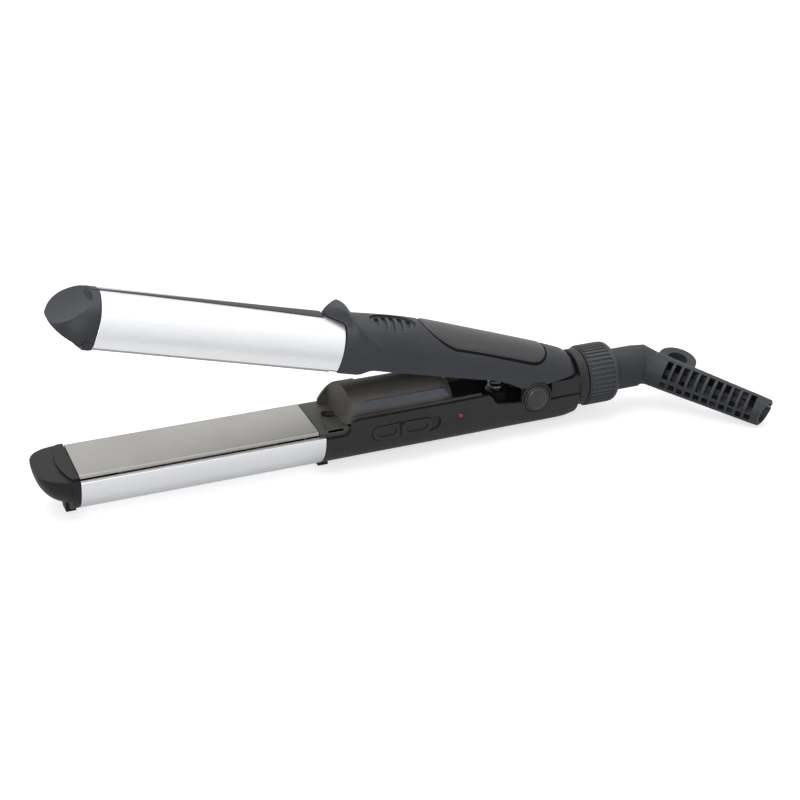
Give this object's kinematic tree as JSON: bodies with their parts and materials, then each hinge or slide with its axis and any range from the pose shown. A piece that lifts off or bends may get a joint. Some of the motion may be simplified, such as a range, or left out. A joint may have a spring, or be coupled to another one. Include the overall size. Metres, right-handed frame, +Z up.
{
  "type": "mini flat iron",
  "caption": "Small hair straightener and curler: two hinged half-round barrels with flat heating plates inside, slide switch, twist ring and swivelling cord boot.",
  "frame": {"origin": "middle of the front foot's flat underside, on the surface the iron rests on", "axes": "+X along the lower arm from its tip to the cord boot, -Y towards the side with the switch, +Z up"},
  "size_m": [0.288, 0.056, 0.0855],
  "materials": {
    "black_plastic": "fine satin texture",
    "switch_plastic": "satin",
    "gloss_cap": "semi-gloss",
    "gloss_inlay": "smooth semi-gloss",
    "ring_plastic": "ribbed, satin",
    "boot_rubber": "matte moulded rubber",
    "polished_aluminium": "polished",
    "satin_plate": "satin hard-coated",
    "heater_ceramic": "matte",
    "heat_plastic": "heat-resistant, matte",
    "steel": "bright zinc-plated",
    "board": "solder-masked glass-fibre board",
    "red_lens": "clear red, gloss"
  },
  "bodies": {
    "lower_arm": {"lower_nose_cap": "black_plastic", "lower_barrel_shell": "polished_aluminium", "lower_plate": "satin_plate", "lower_heater": "heater_ceramic", "lower_heater_carrier": "heat_plastic", "thermal_fuse": "steel", "lower_handle_shell": "black_plastic", "lower_inner_cover": "black_plastic", "lower_cover_screw": "steel", "circuit_board": "board", "switch_body": "black_plastic", "indicator_lens": "red_lens", "hinge_pin": "steel", "hinge_cap_near": "gloss_cap", "hinge_cap_far": "gloss_cap", "opening_spring": "steel", "tail_yoke": "black_plastic"},
    "upper_arm": {"upper_nose_cap": "black_plastic", "upper_barrel_shell": "polished_aluminium", "upper_plate": "satin_plate", "upper_heater": "heater_ceramic", "upper_heater_carrier": "heat_plastic", "upper_spine": "black_plastic", "upper_handle_shell": "black_plastic", "grip_inlay": "gloss_inlay", "upper_inner_cover": "black_plastic", "upper_cover_screw": "steel", "upper_hinge_bracket": "heat_plastic"},
    "switch": {"switch_slider": "switch_plastic"},
    "twist_ring": {"lock_ring": "ring_plastic"},
    "boot": {"cord_boot": "boot_rubber", "swivel_clip": "steel"}
  },
  "joints": [
    {"name": "arm_hinge", "type": "hinge", "parent": "lower_arm", "child": "upper_arm", "pos_m": [0.18265, 0, 0.0162], "axis": [0, 1, 0], "range_deg": [-15.1, 0], "stiffness_Nm_per_rad": 0.3, "springref_deg": 22.92, "deforming": ["opening_spring"]},
    {"name": "switch_slide", "type": "slide", "parent": "lower_arm", "child": "switch", "axis": [1, 0, 0], "range_m": [0, 0.003]},
    {"name": "ring_twist", "type": "hinge", "parent": "lower_arm", "child": "twist_ring", "pos_m": [0.212, 0, 0.0165], "axis": [1, 0, 0], "range_deg": [-40, 0]},
    {"name": "boot_swivel", "type": "hinge", "parent": "lower_arm", "child": "boot", "pos_m": [0.218, 0, 0.0165], "axis": [1, 0, 0], "continuous": true}
  ]
}
